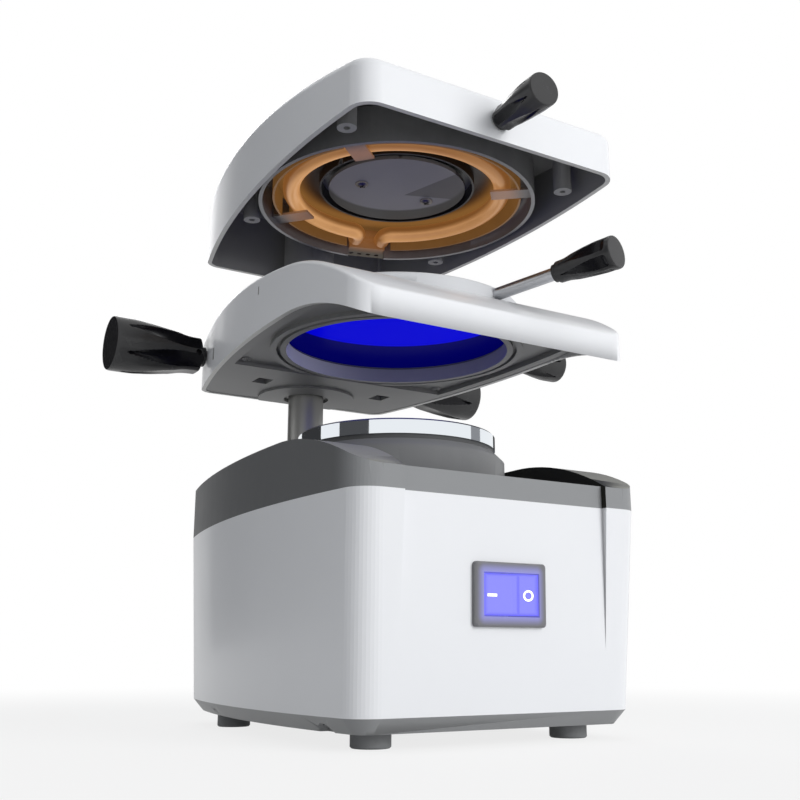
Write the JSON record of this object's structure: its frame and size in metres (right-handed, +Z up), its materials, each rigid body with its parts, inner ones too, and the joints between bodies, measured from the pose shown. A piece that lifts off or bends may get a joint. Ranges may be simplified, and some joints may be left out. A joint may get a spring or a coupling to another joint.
{
  "type": "dental vacuum former",
  "caption": "Bench vacuum former: heater head and sheet holder on one column above a suction platform, over a tapered motor base.",
  "frame": {"origin": "middle of the footprint's bounding box on the surface under the feet; the axis of the forming platform passes through it", "axes": "+Z up, front towards -Y, +X to the right of someone facing the front"},
  "size_m": [0.2416, 0.2526, 0.3085],
  "materials": {
    "white_enamel": "glossy white moulded casing",
    "grey_moulding": "dark grey satin moulding",
    "tray_grey": "mid grey satin moulding",
    "plate_grey": "mid grey satin plate",
    "rubber_grey": "grey rubber",
    "rubber_black": "black rubber",
    "bright_chrome": "polished chrome",
    "perforated_steel": "brushed perforated plate",
    "spun_aluminium": "spun aluminium",
    "zinc_steel": "bright zinc plated steel",
    "shaft_steel": "ground steel",
    "motor_iron": "laminated motor iron",
    "brush_carbon": "pressed carbon",
    "contact_brass": "plain brass",
    "handle_black": "glossy black moulded handle",
    "bezel_grey": "dark grey frame",
    "rocker_blue": "lit blue rocker",
    "socket_black": "black insulating plastic",
    "nylon_white": "natural nylon",
    "cable_sleeve": "heat proof sleeve",
    "sheet_blue": "clear blue thermoplastic sheet",
    "seal_silicone": "grey silicone",
    "heater_steel": "grey enamelled sheet steel",
    "pan_steel": "heat darkened sheet steel",
    "element_glow": "glowing tubular heating element",
    "mica_grey": "ceramic terminal block"
  },
  "bodies": {
    "base": {"rubber_feet": "rubber_grey", "foot_screws": "zinc_steel", "bottom_tray": "tray_grey", "base_shell": "white_enamel", "base_cap": "grey_moulding", "case_screws": "zinc_steel", "platform_gasket": "rubber_black", "platform_ring": "bright_chrome", "forming_plate": "perforated_steel", "suction_cup": "spun_aluminium", "fan_drum": "spun_aluminium", "motor_housing": "zinc_steel", "motor_stator": "motor_iron", "carbon_brushes": "brush_carbon", "shaft_bearings": "shaft_steel", "motor_cushion": "rubber_black", "inlet_seal": "rubber_black", "switch_bezel": "bezel_grey", "switch_tabs": "contact_brass", "power_inlet": "socket_black", "inlet_pins": "contact_brass", "inlet_screws": "zinc_steel", "column_tube": "bright_chrome", "column_socket": "spun_aluminium", "column_collar": "grey_moulding", "thrust_washer": "nylon_white", "heater_cable": "cable_sleeve"},
    "rotor": {"impeller": "spun_aluminium", "armature": "motor_iron", "motor_shaft": "shaft_steel"},
    "rocker": {"switch_rocker": "rocker_blue"},
    "holder": {"holder_shell": "white_enamel", "holder_plate": "plate_grey", "plate_screws": "zinc_steel", "column_bush": "nylon_white", "sheet_seal": "seal_silicone", "forming_sheet": "sheet_blue", "drag_pad": "nylon_white", "drag_screw": "zinc_steel", "grip_right": "handle_black", "grip_left": "handle_black", "grip_studs": "zinc_steel"},
    "clamp": {"clamp_ring": "white_enamel", "lever_rod": "zinc_steel", "lever_handle": "handle_black"},
    "lock": {"lock_screw": "zinc_steel", "lock_knob": "handle_black"},
    "head": {"head_shell": "white_enamel", "head_hub": "plate_grey", "heater_shroud": "heater_steel", "reflector_pan": "pan_steel", "heating_element": "element_glow", "element_pins": "contact_brass", "terminal_block": "mica_grey", "element_brackets": "heater_steel", "centre_disc": "heater_steel", "disc_screws": "zinc_steel", "head_knob": "handle_black", "head_stud": "zinc_steel"}
  },
  "joints": [
    {"name": "motor_spin", "type": "hinge", "parent": "base", "child": "rotor", "pos_m": [0, 0, 0.07], "axis": [0, 0, 1], "continuous": true},
    {"name": "switch_rock", "type": "hinge", "parent": "base", "child": "rocker", "pos_m": [0, -0.08782, 0.06029], "axis": [0, -0.0298, 0.9996], "range_deg": [0, 12]},
    {"name": "holder_slide", "type": "slide", "parent": "base", "child": "holder", "axis": [0, 0, 1], "range_m": [-0.054, 0.045]},
    {"name": "clamp_turn", "type": "hinge", "parent": "holder", "child": "clamp", "pos_m": [0, 0, 0.2045], "axis": [0, 0, 1], "range_deg": [-36, 0]},
    {"name": "lock_turn", "type": "hinge", "parent": "holder", "child": "lock", "pos_m": [0.09, 0.009, 0.2006], "axis": [1, 0, 0], "range_deg": [0, 180]},
    {"name": "head_swing", "type": "hinge", "parent": "base", "child": "head", "pos_m": [0, 0.1075, 0.28], "axis": [0, 0, 1], "range_deg": [-90, 90]}
  ]
}
